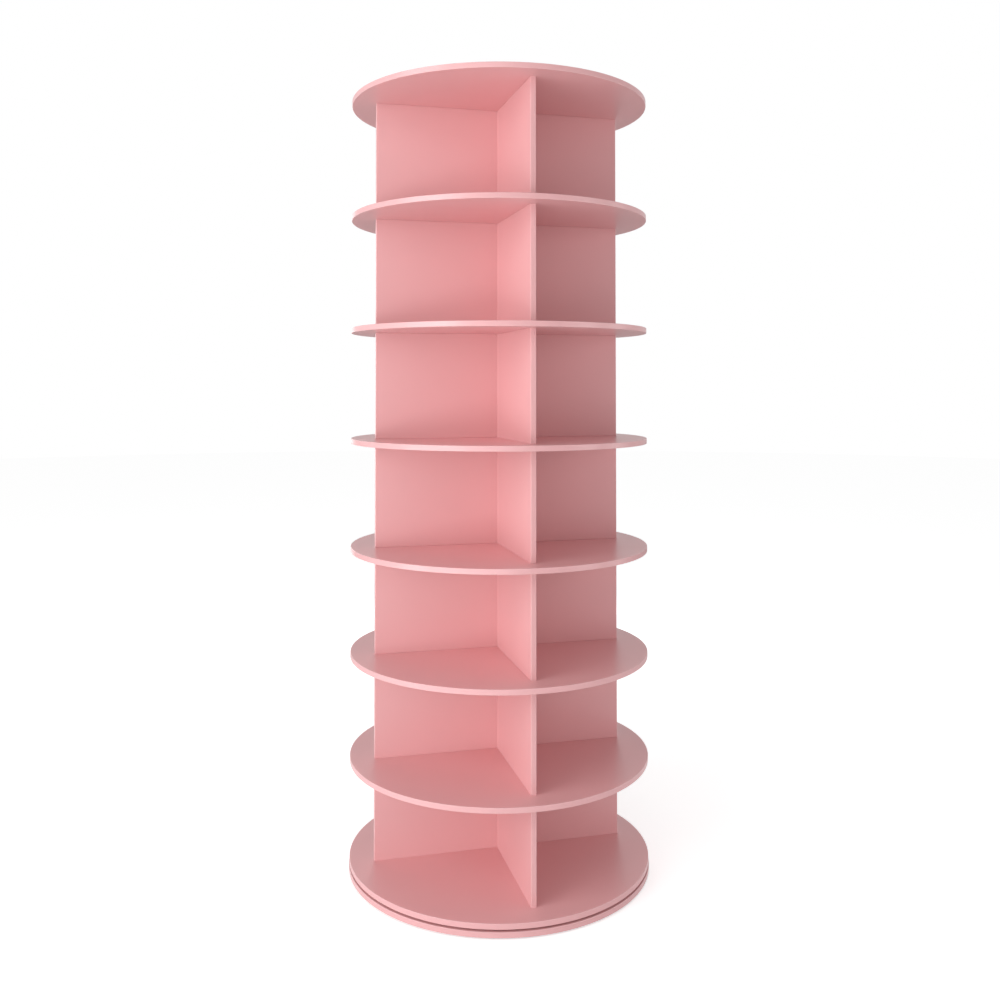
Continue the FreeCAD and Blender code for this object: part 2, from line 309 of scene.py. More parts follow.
def arris_wear_and_highlight():
    """Lightens a colour unevenly along eased arrises: paint worn thin there, and a painted highlight."""
    stretch, least = 14 * MM, 0.35  # length of a lighter stretch, and the lightening between such stretches

    def build(tree, given):
        uneven = noise(tree, given["Position"], stretch)
        arris_lightening = math_node(tree, "MULTIPLY", given["Arris"], math_node(tree, "ADD", uneven, least))
        # Mixes towards white where the arris is marked: worn paint and a painted highlight along the arris.
        mask = math_node(tree, "MULTIPLY", arris_lightening, given["Lift"])
        sockets = {"Factor": mask, MIX_FIRST: given["Color"], MIX_SECOND: WHITE}
        return {"Color": add(tree, "Mix", sockets, data_type="RGBA").outputs[MIX_RESULT]}

    inputs = {"Color": "Color", "Position": "Vector", "Arris": "Float", "Lift": "Float"}
    return effect("Arris wear and highlight", inputs, {"Color": "Color"}, build)


def handling_marks():
    """Soft smudges that handling leaves, as a mask for roughness."""
    clean, smudged = 0.42, 0.72  # broad noise at which a smudge starts and is full
    fine_share = 0.12  # width of the fine marks over that of a smudge
    fine_least = 0.4  # strength of a smudge between fine marks

    def build(tree, given):
        broad = noise(tree, given["Position"], given["Patch"], 4.0)
        fine = noise(tree, given["Position"], math_node(tree, "MULTIPLY", given["Patch"], fine_share), 3.0)
        ends = {"From Min": clean, "From Max": smudged}
        blot = add(tree, "MapRange", {"Value": broad, **ends}, interpolation_type="SMOOTHSTEP").outputs[0]
        return {"Mask": math_node(tree, "MULTIPLY", blot, math_node(tree, "ADD", fine, fine_least))}

    return effect("Handling marks", {"Position": "Vector", "Patch": "Float"}, {"Mask": "Float"}, build)


def fibre_layers():
    """The pressed layers of a board's cut edge, as a mask. Through is the distance through the board."""
    flakes_per_metre = 90.0

    def build(tree, given):
        layer = math_node(tree, "DIVIDE", given["Through"], given["Layer"])
        spread = {0: given["Position"], "Scale": flakes_per_metre}
        along = add(tree, "VectorMath", spread, operation="SCALE").outputs[0]
        raised = add(tree, "CombineXYZ", {"Z": layer}).outputs[0]
        place = add(tree, "VectorMath", {0: along, 1: raised}, operation="ADD").outputs[0]
        return {"Mask": noise(tree, place, 1.0, 3.0)}

    inputs = {"Position": "Vector", "Through": "Float", "Layer": "Float"}
    return effect("Fibre layers", inputs, {"Mask": "Float"}, build)


def turned_lines():
    """Fine lines round the turning axis that a lathe tool leaves, as a mask."""

    def build(tree, given):
        parts = add(tree, "SeparateXYZ", {0: given["Position"]}).outputs
        level = add(tree, "CombineXYZ", {"X": parts["X"], "Y": parts["Y"]}).outputs[0]
        radius = add(tree, "VectorMath", {0: level}, operation="LENGTH").outputs["Value"]
        place = add(tree, "CombineXYZ", {"X": radius, "Y": parts["Z"]}).outputs[0]
        return {"Mask": noise(tree, place, given["Pitch"], 1.0)}

    return effect("Turned lines", {"Position": "Vector", "Pitch": "Float"}, {"Mask": "Float"}, build)


def fine_grain():
    """A fine even speckle, as on moulded rubber and plastic or a plated face, as a mask."""
    soft_share = 3.0  # width of the soft patches over that of a grain
    soft_least = 0.5  # strength of the speckle between soft patches

    def build(tree, given):
        cells = {"Vector": given["Position"], "Scale": math_node(tree, "DIVIDE", 1.0, given["Grain"])}
        speck = add(tree, "TexVoronoi", cells).outputs["Distance"]
        soft = noise(tree, given["Position"], math_node(tree, "MULTIPLY", given["Grain"], soft_share))
        return {"Mask": math_node(tree, "MULTIPLY", speck, math_node(tree, "ADD", soft, soft_least))}

    return effect("Fine grain", {"Position": "Vector", "Grain": "Float"}, {"Mask": "Float"}, build)


# Finishes


def new_finish(name):
    """A new material, its node tree and its shader."""
    made = bpy.data.materials.new(name)
    made.use_nodes = True
    tree = made.node_tree
    return made, tree, tree.nodes["Principled BSDF"]


def rgba(value):
    return (*value, 1.0)


def vary(tree, mask, low, high):
    """A value that goes from low to high with a mask."""
    return add(tree, "MapRange", {"Value": mask, "To Min": low, "To Max": high}).outputs[0]


def drifting(tree, name, place, patch, amount, shade):
    """One of the colours, whose tone drifts over a surface."""
    tint = rgba(getattr(settings().colours, name))
    sockets = {"Color": tint, "Position": place, "Patch": patch, "Amount": amount, "Shade": shade}
    return use(tree, tone_drift(), **sockets)["Color"]


def join(tree, shader, name, value):
    tree.links.new(value, shader.inputs[name])


def raise_surface(tree, shader, height):
    """Bump from a height in metres."""
    bump = add(tree, "Bump", {"Strength": 1.0, "Distance": 1.0, "Height": height})
    join(tree, shader, "Normal", bump.outputs[0])


def lacquer():
    """Pink satin lacquer, sprayed on fibreboard: faint spray ripple, fibre lines that show through on cut
    edges, arrises lighter from worn paint and a painted highlight, and a few handling marks."""
    made = bpy.data.materials.get("pink_lacquer")
    if made:
        return made
    made, tree, shader = new_finish("pink_lacquer")
    place, arris = position(tree), attribute(tree, "arris")
    edge, through = attribute(tree, "edge"), attribute(tree, "through")
    toned = drifting(tree, "lacquer", place, patch=0.22, amount=0.03, shade=attribute(tree, "shade"))
    # Arrises drawn lighter towards white: paint worn thin there, and a painted highlight.
    worn_and_highlit = use(tree, arris_wear_and_highlight(), Color=toned, Position=place, Arris=arris, Lift=0.18)
    join(tree, shader, "Base Color", worn_and_highlit["Color"])
    marks = use(tree, handling_marks(), Position=place, Patch=0.08)["Mask"]
    join(tree, shader, "Roughness", vary(tree, marks, 0.285, 0.31))
    ripple = use(tree, surface_ripple(), Position=place, Patch=2.2 * MM, Depth=0.002 * MM)["Height"]
    sag = use(tree, surface_ripple(), Position=place, Patch=60 * MM, Depth=0.03 * MM)["Height"]
    layers = use(tree, fibre_layers(), Position=place, Through=through, Layer=0.7 * MM)["Mask"]
    telegraphed = math_node(tree, "MULTIPLY", math_node(tree, "MULTIPLY", layers, edge), 0.012 * MM)
    raise_surface(tree, shader, math_node(tree, "ADD", math_node(tree, "ADD", ripple, sag), telegraphed))
    shader.inputs["IOR"].default_value = 1.5
    return made


def raw_fibreboard():
    """Cut fibreboard inside a hole: dull brown, layered and fuzzy."""
    made = bpy.data.materials.get("raw_fibreboard")
    if made:
        return made
    made, tree, shader = new_finish("raw_fibreboard")
    place, through = position(tree), attribute(tree, "through")
    layers = use(tree, fibre_layers(), Position=place, Through=through, Layer=0.5 * MM)["Mask"]
    fuzz = use(tree, fine_grain(), Position=place, Grain=0.6 * MM)["Mask"]
    toned = drifting(tree, "fibreboard", place, patch=3 * MM, amount=0.35, shade=layers)
    join(tree, shader, "Base Color", toned)
    join(tree, shader, "Roughness", vary(tree, fuzz, 0.85, 0.97))
    rough = math_node(tree, "ADD", layers, fuzz)
    raise_surface(tree, shader, math_node(tree, "MULTIPLY", rough, 0.06 * MM))
    return made


def moulded_cap():
    """Pink moulded plastic of the screw caps, a little duller than the lacquer."""
    made, tree, shader = new_finish("pink_cap_plastic")
    place = position(tree)
    grain = use(tree, fine_grain(), Position=place, Grain=0.4 * MM)["Mask"]
    toned = drifting(tree, "cap", place, patch=6 * MM, amount=0.04, shade=grain)
    join(tree, shader, "Base Color", toned)
    join(tree, shader, "Roughness", vary(tree, grain, 0.38, 0.48))
    raise_surface(tree, shader, math_node(tree, "MULTIPLY", grain, 0.006 * MM))
    shader.inputs["IOR"].default_value = 1.5
    return made


def foot_rubber():
    """Dark moulded rubber with a fine grain and a dusty bloom."""
    made, tree, shader = new_finish("foot_rubber")
    place = position(tree)
    grain = use(tree, fine_grain(), Position=place, Grain=0.5 * MM)["Mask"]
    bloom = use(tree, handling_marks(), Position=place, Patch=12 * MM)["Mask"]
    toned = drifting(tree, "rubber", place, patch=4 * MM, amount=0.9, shade=bloom)
    join(tree, shader, "Base Color", toned)
    join(tree, shader, "Roughness", vary(tree, bloom, 0.62, 0.85))
    raise_surface(tree, shader, math_node(tree, "MULTIPLY", grain, 0.03 * MM))
    return made


def beech():
    """Planed beech: long streaks and short darker flecks along the grain."""
    squeeze = 0.07  # of the pattern along the grain, which draws it out
    bare, full = 0.62, 0.75  # fine noise at which a fleck starts and is full
    made, tree, shader = new_finish("beech")
    grain = attribute(tree, "grain", "Vector")
    drawn_out = add(tree, "Mapping", {"Vector": grain, "Scale": (1.0, 1.0, squeeze)}).outputs[0]
    streak = noise(tree, drawn_out, 1.6 * MM, 4.0)
    fine = noise(tree, drawn_out, 0.35 * MM, 1.0)
    fleck = add(tree, "MapRange", {"Value": fine, "From Min": bare, "From Max": full}).outputs[0]
    figure = math_node(tree, "SUBTRACT", streak, math_node(tree, "MULTIPLY", fleck, 0.5))
    toned = drifting(tree, "beech", drawn_out, patch=1.2 * MM, amount=0.45, shade=figure)
    join(tree, shader, "Base Color", toned)
    join(tree, shader, "Roughness", vary(tree, streak, 0.50, 0.68))
    raise_surface(tree, shader, math_node(tree, "MULTIPLY", streak, 0.04 * MM))
    return made


def turned_aluminium():
    """Turned aluminium ring: fine lines round the axis."""
    made, tree, shader = new_finish("turned_aluminium")
    place = position(tree)
    lines = use(tree, turned_lines(), Position=place, Pitch=0.12 * MM)["Mask"]
    marks = use(tree, handling_marks(), Position=place, Patch=18 * MM)["Mask"]
    toned = drifting(tree, "aluminium", place, patch=25 * MM, amount=0.10, shade=lines)
    join(tree, shader, "Base Color", toned)
    dulled = math_node(tree, "ADD", vary(tree, lines, 0.29, 0.38), math_node(tree, "MULTIPLY", marks, 0.08))
    join(tree, shader, "Roughness", dulled)
    raise_surface(tree, shader, math_node(tree, "MULTIPLY", lines, 0.004 * MM))
    shader.inputs["Metallic"].default_value = 1.0
    return made


def polished_steel():
    """Ground and polished ball steel with a trace of grease."""
    made, tree, shader = new_finish("polished_steel")
    place = position(tree)
    grease = use(tree, handling_marks(), Position=place, Patch=1.5 * MM)["Mask"]
    toned = drifting(tree, "steel", place, patch=2 * MM, amount=0.12, shade=grease)
    join(tree, shader, "Base Color", toned)
    join(tree, shader, "Roughness", vary(tree, grease, 0.07, 0.24))
    shader.inputs["Metallic"].default_value = 1.0
    return made


def zinc_plate():
    """Bright zinc plating: a faint crystal grain, and rolled thread lines along the shank."""
    made, tree, shader = new_finish("zinc_plate")
    place = position(tree)
    grain = use(tree, fine_grain(), Position=place, Grain=0.35 * MM)["Mask"]
    marks = use(tree, handling_marks(), Position=place, Patch=3 * MM)["Mask"]
    toned = drifting(tree, "zinc", place, patch=2.5 * MM, amount=0.22, shade=grain)
    join(tree, shader, "Base Color", toned)
    join(tree, shader, "Roughness", vary(tree, marks, 0.29, 0.44))
    height = add(tree, "SeparateXYZ", {0: place}).outputs["Z"]
    thread = math_node(tree, "MULTIPLY", math_node(tree, "PINGPONG", height, 0.7 * MM), 0.35)
    crystals = math_node(tree, "MULTIPLY", grain, 0.003 * MM)
    raise_surface(tree, shader, math_node(tree, "ADD", thread, crystals))
    shader.inputs["Metallic"].default_value = 1.0
    return made


def cage_nylon():
    """Off-white moulded nylon strip."""
    made, tree, shader = new_finish("cage_nylon")
    place = position(tree)
    grain = use(tree, fine_grain(), Position=place, Grain=0.3 * MM)["Mask"]
    toned = drifting(tree, "nylon", place, patch=8 * MM, amount=0.08, shade=grain)
    join(tree, shader, "Base Color", toned)
    join(tree, shader, "Roughness", vary(tree, grain, 0.42, 0.56))
    raise_surface(tree, shader, math_node(tree, "MULTIPLY", grain, 0.01 * MM))
    return made


# Shapes


def body_of(node):
    return frame["nodes"][node]["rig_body"]


def to_mesh(bm, name, *materials):
    """A mesh from a bmesh, which is freed."""
    mesh = bpy.data.meshes.new(name)
    bm.to_mesh(mesh)
    bm.free()
    for made in materials:
        mesh.materials.append(made)
    return mesh


def add_object(name, mesh):
    made = bpy.data.objects.new(name, mesh)
    bpy.context.scene.collection.objects.link(made)
    return made


def add_piece(name, mesh, node):
    """Puts a finished mesh in place of a CAD node, shaded smooth between its creases."""
    mesh.shade_smooth()
    mesh.set_sharp_from_angle(angle=SHARP)
    piece = add_object(name, mesh)
    even = piece.modifiers.new("Even shading", "WEIGHTED_NORMAL")
    even.keep_sharp = True
    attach(piece, body_of(node))
    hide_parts(node)
    return piece


def of_kind(items, kind):
    return [item for item in items if isinstance(item, kind)]


def turned(outline, steps=HOLE_STEPS):
    """A bmesh that an outline of (radius, height) points sweeps in a full turn about Z. An outline that
    starts on the axis ends on it, and any other closes on itself."""
    bm = bmesh.new()
    verts = [bm.verts.new((radius, 0.0, height)) for radius, height in outline]
    edges = [bm.edges.new(pair) for pair in zip(verts, verts[1:])]
    if outline[0][0] > 0:
        edges.append(bm.edges.new((verts[-1], verts[0])))
    bmesh.ops.spin(
        bm,
        geom=verts + edges,
        cent=(0, 0, 0),
        axis=(0, 0, 1),
        angle=2 * math.pi,
        steps=steps,
        use_merge=True,
    )
    bmesh.ops.remove_doubles(bm, verts=bm.verts, dist=TURNED_WELD)
    bmesh.ops.recalc_face_normals(bm, faces=bm.faces)
    return bm


def copies(shape, places):
    """A bmesh with a copy of a shape, which is freed, at each place."""
    mesh = to_mesh(shape, "copied")
    bm = bmesh.new()
    for place in places:
        first = len(bm.verts)
        bm.from_mesh(mesh)
        bm.verts.ensure_lookup_table()
        bmesh.ops.transform(bm, matrix=place, verts=bm.verts[first:])
    bpy.data.meshes.remove(mesh)
    return bm


def bevel(bm, edges, offset, segments):
    bmesh.ops.bevel(
        bm,
        geom=edges,
        offset=offset,
        segments=segments,
        profile=0.5,
        affect="EDGES",
        material=-1,
        clamp_overlap=True,
    )


def creases(bm):
    return [edge for edge in bm.edges if edge.calc_face_angle(0.0) > SHARP]


def solids(node):
    """The separate solids of a CAD node, each as a list of its points."""
    bm = bmesh.new()
    bm.from_mesh(frame["nodes"][node].data)
    bmesh.ops.remove_doubles(bm, verts=bm.verts, dist=CAD_WELD)
    reached, found = set(), []
    for first in bm.verts:
        if first in reached:
            continue
        reached.add(first)
        shell = [first]
        for vert in shell:
            beside = [edge.other_vert(vert) for edge in vert.link_edges]
            fresh = [other for other in beside if other not in reached]
            reached.update(fresh)
            shell.extend(fresh)
        found.append([vert.co.copy() for vert in shell])
    bm.free()
    return found


def box_of(points):
    low = Vector([min(point[axis] for point in points) for axis in range(3)])
    high = Vector([max(point[axis] for point in points) for axis in range(3)])
    return low, high


def undersides(boxes):
    """The middle of each box's underside."""
    return [Matrix.Translation(((low.x + high.x) / 2, (low.y + high.y) / 2, low.z)) for low, high in boxes]


def dowel_place(low, high):
    """The middle of a dowel's box, with Z turned along the dowel."""
    size = high - low
    lies_along_y = size.y > size.z
    return Matrix.Translation((low + high) / 2) @ Matrix.Rotation(math.radians(90 * lies_along_y), 4, "X")


def radii_of(node):
    """The smallest and largest distance of a CAD node's points from the turning axis."""
    distances = [vert.co.xy.length for vert in frame["nodes"][node].data.vertices]
    return min(distances), max(distances)


# Holes


def dowel_hole(points):
    """The box of one dowel, and the cutter of its hole."""
    joinery = settings().joinery
    low, high = box_of(points)
    size = high - low
    half = max(size) / 2 + joinery.hole_end_gap
    radius = size.x / 2 + joinery.hole_clearance
    pin = turned([(0, -half), (radius, -half), (radius, half), (0, half)])
    return low, high, copies(pin, [dowel_place(low, high)])


def screw_hole(points):
    """The box of one upright screw, and the cutter of its countersunk hole."""
    joinery = settings().joinery
    low, high = box_of(points)
    centre = (low + high) / 2
    widest = max(points, key=lambda point: (point.xy - centre.xy).length)
    head_on_top = widest.z > centre.z
    head = (high.x - low.x) / 2
    wide = head + joinery.hole_clearance
    narrow = head * SHANK_SHARE + joinery.hole_clearance
    end = high.z - low.z + joinery.hole_end_gap
    mouth = joinery.screw_mouth
    outline = [(0, -mouth), (wide, -mouth), (wide, 0), (narrow, wide - narrow), (narrow, end), (0, end)]
    start = Vector((centre.x, centre.y, high.z if head_on_top else low.z))
    place = Matrix.Translation(start) @ Matrix.Rotation(math.radians(180 * head_on_top), 4, "X")
    return low, high, copies(turned(outline), [place])


def all_holes():
    """The box and the cutter of every dowel's and screw's hole."""
    holes = [dowel_hole(points) for node in DOWELS for points in solids(node)]
    screws = [*BOARD_SCREWS, *RING_SCREWS, FOOT_SCREWS]
    holes += [screw_hole(points) for node in screws for points in solids(node)]
    return holes


def holes_in(holes, node):
    """One bmesh with the cutters of the dowels and screws that reach into a node."""
    low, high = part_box(node)
    reach = settings().joinery.joint_ease
    found = bmesh.new()
    for hole_low, hole_high, cutter in holes:
        overlaps = [min(high[axis], hole_high[axis]) - max(low[axis], hole_low[axis]) for axis in range(3)]
        if min(overlaps) > reach:
            mesh = to_mesh(cutter.copy(), "cutter")
            found.from_mesh(mesh)
            bpy.data.meshes.remove(mesh)
    return found


def free_cutters(holes):
    for _, _, cutter in holes:
        cutter.free()


def bearing_pocket():
    """The cutters of the round pocket for the bearing and of the hole under it for a screwdriver."""
    joinery = settings().joinery
    inside = radii_of("bearing_inner_ring")[0] - joinery.pocket_clearance
    outside = radii_of("bearing_outer_ring")[1] + joinery.pocket_clearance
    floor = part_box("bearing_outer_ring")[0].z
    low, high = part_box("base_board")
    above, below = high.z + joinery.pocket_clearance, low.z - joinery.pocket_clearance
    outline = [(inside, floor), (outside, floor), (outside, above), (inside, above)]
    pocket = turned(outline, POCKET_STEPS)
    screws = [box_of(points) for points in solids(RING_SCREWS[0])]
    screw_circle = max(low.x + high.x for low, high in screws) / 2
    radius, top = joinery.access_radius, floor + joinery.joint_ease
    access = turned([(0, below), (radius, below), (radius, top), (0, top)], ACCESS_STEPS)
    return [pocket, copies(access, [Matrix.Translation((screw_circle, 0, 0))])]


def drilled(blank, cutters):
    """The mesh of a lacquered blank less its cutters, with bare fibreboard where they cut."""
    finishes = lacquer(), raw_fibreboard()
    body = add_object("blank", to_mesh(blank, "blank", *finishes))
    tools = []
    for cutter in cutters:
        for face in cutter.faces:
            face.material_index = 1
        tools.append(add_object("cutter", to_mesh(cutter, "cutter", *finishes)))
        hole = body.modifiers.new("Hole", "BOOLEAN")
        hole.operation = "DIFFERENCE"
        hole.solver = "EXACT"
        hole.material_mode = "INDEX"
        hole.object = tools[-1]
    mesh = bpy.data.meshes.new_from_object(body.evaluated_get(bpy.context.evaluated_depsgraph_get()))
    for used in (body, *tools):
        data = used.data
        bpy.data.objects.remove(used)
        bpy.data.meshes.remove(data)
    return mesh


def mark_edges(mesh, shade, depths):
    """Gives a mesh the attributes that the lacquer reads. depths takes a point and gives its distance
    through the board, its depth under the nearer face and its distance in from the free edge."""
    ease = settings().joinery.edge_round
    names = ("shade", "through", "edge", "arris")
    marks = {name: mesh.attributes.new(name, "FLOAT", "POINT").data for name in names}
    for vert in mesh.vertices:
        through, depth, inset = depths(vert.co)
        marks["shade"][vert.index].value = shade
        marks["through"][vert.index].value = through
        marks["edge"][vert.index].value = min(depth / ease, 1.0)
        # arris masks where the lacquer is lighter: worn paint and a painted highlight along the arris
        marks["arris"][vert.index].value = max(0.0, 1.0 - abs(depth - inset) / ease)


def shade_of(number):
    """A shade between 0 and 1 for a piece, well apart from those of its neighbours."""
    return number * GOLDEN_STEP % 1.0


def board(node, number, cutters):
    """A round board: a disc with eased arrises, its holes cut."""
    joinery = settings().joinery
    low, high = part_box(node)
    radius = radii_of(node)[1]
    bm = bmesh.new()
    place = Matrix.Translation((0, 0, low.z))
    bmesh.ops.create_circle(bm, cap_ends=True, radius=radius, segments=joinery.rim_segments, matrix=place)
    raised = bmesh.ops.extrude_face_region(bm, geom=bm.faces[:])["geom"]
    bmesh.ops.translate(bm, vec=(0, 0, high.z - low.z), verts=of_kind(raised, BMVert))
    bmesh.ops.recalc_face_normals(bm, faces=bm.faces)
    bevel(bm, creases(bm), joinery.edge_round, joinery.round_segments)
    mesh = drilled(bm, cutters)

    def depths(point):
        through = point.z - low.z
        return through, min(through, high.z - point.z), radius - point.xy.length

    mark_edges(mesh, shade_of(number), depths)
    return add_piece(f"lacquered_{node}", mesh, node)


def panel(node, number, cutters):
    """An upright panel: a box with rounded free ends and finely eased joint edges, its holes cut."""
    joinery = settings().joinery
    low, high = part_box(node)
    size = high - low
    across = 1 if size.x > size.y else 0  # the axis through the panel's thickness
    along = 1 - across
    reach = max(abs(low[along]), abs(high[along]))
    bm = bmesh.new()
    place = Matrix.Translation((low + high) / 2) @ Matrix.Diagonal((*size, 1.0))
    bmesh.ops.create_cube(bm, size=1.0, matrix=place)
    free_ends = []
    for edge in bm.edges:
        start, end = (vert.co for vert in edge.verts)
        upright = abs(start.z - end.z) > size.z / 2
        if upright and abs(abs(start[along]) - reach) < joinery.edge_round:
            free_ends.append(edge)
    bevel(bm, free_ends, joinery.edge_round, joinery.round_segments)
    bevel(bm, creases(bm), joinery.joint_ease, JOINT_RUNS)
    mesh = drilled(bm, cutters)

    def depths(point):
        through = point[across] - low[across]
        return through, min(through, high[across] - point[across]), reach - abs(point[along])

    mark_edges(mesh, shade_of(number), depths)
    return add_piece(f"lacquered_{node}", mesh, node)


def fluted_dowel(points):
    """One dowel with glue flutes and chamfered ends, in the place of a CAD dowel."""
    fittings = settings().fittings
    low, high = box_of(points)
    size = high - low
    radius, half, chamfer = size.x / 2, max(size) / 2, fittings.dowel_chamfer
    bm = bmesh.new()
    start, steps = Matrix.Translation((0, 0, -half)), 2 * fittings.flute_count
    ring = bmesh.ops.create_circle(bm, cap_ends=True, radius=radius, segments=steps, matrix=start)["verts"]
    valleys = ring[::2]
    for verts, cut in ((valleys, fittings.flute_depth), (ring, chamfer)):
        narrowed = 1 - cut / radius
        bmesh.ops.scale(bm, vec=(narrowed, narrowed, 1), verts=verts)
    cap = first_end = bm.faces[:]
    spread = radius / (radius - chamfer)
    for rise, widen in ((chamfer, spread), (2 * (half - chamfer), 1.0), (chamfer, 1 / spread)):
        raised = bmesh.ops.extrude_face_region(bm, geom=cap)["geom"]
        if cap is not first_end:
            bmesh.ops.delete(bm, geom=cap, context="FACES_ONLY")
        upper, cap = of_kind(raised, BMVert), of_kind(raised, BMFace)
        bmesh.ops.translate(bm, vec=(0, 0, rise), verts=upper)
        bmesh.ops.scale(bm, vec=(widen, widen, 1), verts=upper)
    bmesh.ops.recalc_face_normals(bm, faces=bm.faces)
    grain = bm.verts.layers.float_vector.new("grain")  # a place in the wood of its own for each dowel
    for vert in bm.verts:
        vert[grain] = vert.co + low
    bmesh.ops.transform(bm, matrix=dowel_place(low, high), verts=bm.verts)
    return bm


def merged(shapes):
    """One bmesh with all the shapes, which are freed."""
    bm = bmesh.new()
    for shape in shapes:
        mesh = to_mesh(shape, "merged")
        bm.from_mesh(mesh)
        bpy.data.meshes.remove(mesh)
    return bm


def domed_cap(radius, height, lip):
    """A shallow domed cap on the origin with an upright lip."""
    rise = height - lip
    sphere = (radius**2 + rise**2) / (2 * rise)
    bm = bmesh.new()
    centre = Matrix.Translation((0, 0, height - sphere))
    bmesh.ops.create_uvsphere(
        bm, u_segments=CAP_STEPS, v_segments=CAP_RINGS, radius=sphere, matrix=centre
    )
    whole = bm.verts[:] + bm.edges[:] + bm.faces[:]
    bmesh.ops.bisect_plane(bm, geom=whole, plane_co=(0, 0, lip), plane_no=(0, 0, 1), clear_inner=True)
    border = [edge for edge in bm.edges if edge.is_boundary]
    lowered = bmesh.ops.extrude_edge_only(bm, edges=border)["geom"]
    bmesh.ops.translate(bm, vec=(0, 0, -lip), verts=of_kind(lowered, BMVert))
    bmesh.ops.holes_fill(bm, edges=[edge for edge in bm.edges if edge.is_boundary], sides=0)
    bmesh.ops.recalc_face_normals(bm, faces=bm.faces)
    return bm


def grooved_pad(radius, height, head):
    """A round rubber pad on the origin, with ring grooves in its sole and a countersunk screw hole."""
    joinery, fittings = settings().joinery, settings().fittings
    mouth = head + joinery.hole_clearance
    bore = head * SHANK_SHARE + joinery.hole_clearance
    outline = [(bore, height), (radius, height)]
    outline += [(radius, fittings.pad_chamfer), (radius - fittings.pad_chamfer, 0)]
    step = (radius - mouth) / (fittings.groove_count + 1)
    half, depth = fittings.groove_width / 2, fittings.groove_depth
    for number in range(fittings.groove_count, 0, -1):
        middle = mouth + number * step
        outline += [(middle + half, 0), (middle + half, depth), (middle - half, depth), (middle - half, 0)]
    outline += [(mouth, 0), (mouth, fittings.pad_recess), (bore, fittings.pad_recess + mouth - bore)]
    return turned(outline, PAD_STEPS)


# Operators


class SHOETOWER_OT_boards(Operator):
    """Make the base board, the turning boards and their drilled holes"""

    bl_idname = "shoe_tower.boards"
    bl_label = "Boards"

    def execute(self, context):
        holes = all_holes()
        board("base_board", 0, [holes_in(holes, "base_board"), *bearing_pocket()])
        for number, node in enumerate(TURNING_BOARDS, 1):
            board(node, number, [holes_in(holes, node)])
        free_cutters(holes)
        return {"FINISHED"}


class SHOETOWER_OT_panels(Operator):
    """Make the upright panels of every tier and their drilled holes"""

    bl_idname = "shoe_tower.panels"
    bl_label = "Panels"

    def execute(self, context):
        holes = all_holes()
        for tier in range(1, TIER_COUNT + 1):
            for number, side in enumerate(PANEL_SIDES):
                node = f"tier_{tier}_{side}_panel"
                panel(node, len(PANEL_SIDES) * tier + number, [holes_in(holes, node)])
        free_cutters(holes)
        return {"FINISHED"}


class SHOETOWER_OT_screw_caps(Operator):
    """Make the domed caps over the screws in the top board"""

    bl_idname = "shoe_tower.screw_caps"
    bl_label = "Screw caps"

    def execute(self, context):
        boxes = [box_of(points) for points in solids("top_screw_caps")]
        low, high = boxes[0]
        cap = domed_cap((high.x - low.x) / 2, high.z - low.z, settings().fittings.cap_lip)
        mesh = to_mesh(copies(cap, undersides(boxes)), "domed_screw_caps", moulded_cap())
        add_piece("domed_screw_caps", mesh, "top_screw_caps")
        return {"FINISHED"}


class SHOETOWER_OT_foot_pads(Operator):
    """Make the rubber foot pads with grooved soles"""

    bl_idname = "shoe_tower.foot_pads"
    bl_label = "Foot pads"

    def execute(self, context):
        boxes = [box_of(points) for points in solids("foot_pads")]
        head_low, head_high = box_of(solids(FOOT_SCREWS)[0])
        low, high = boxes[0]
        pad = grooved_pad((high.x - low.x) / 2, high.z - low.z, (head_high.x - head_low.x) / 2)
        mesh = to_mesh(copies(pad, undersides(boxes)), "grooved_foot_pads", foot_rubber())
        add_piece("grooved_foot_pads", mesh, "foot_pads")
        return {"FINISHED"}


class SHOETOWER_OT_dowels(Operator):
    """Make the fluted beech dowels that join boards and panels"""

    bl_idname = "shoe_tower.dowels"
    bl_label = "Dowels"

    def execute(self, context):
        finish = beech()
        for node in DOWELS:
            shapes = merged(fluted_dowel(points) for points in solids(node))
            add_piece(f"fluted_{node}", to_mesh(shapes, f"fluted_{node}", finish), node)
        return {"FINISHED"}


def give_finish(node, finish):
    """Gives a CAD node that stays a better material."""
    for slot in frame["nodes"][node].material_slots:
        slot.material = finish


class SHOETOWER_OT_bearing(Operator):
    """Finish the ring bearing: turned rings, polished balls and their moulded cage"""

    bl_idname = "shoe_tower.bearing"
    bl_label = "Ring bearing"

    def execute(self, context):
        rings = turned_aluminium()
        give_finish("bearing_inner_ring", rings)
        give_finish("bearing_outer_ring", rings)
        give_finish("bearing_balls", polished_steel())
        give_finish("bearing_cage", cage_nylon())
        return {"FINISHED"}


class SHOETOWER_OT_screws(Operator):
    """Finish all the screws with zinc plating"""

    bl_idname = "shoe_tower.screws"
    bl_label = "Screws"

    def execute(self, context):
        plated = zinc_plate()
        for node in (*BOARD_SCREWS, *RING_SCREWS, FOOT_SCREWS):
            give_finish(node, plated)
        return {"FINISHED"}


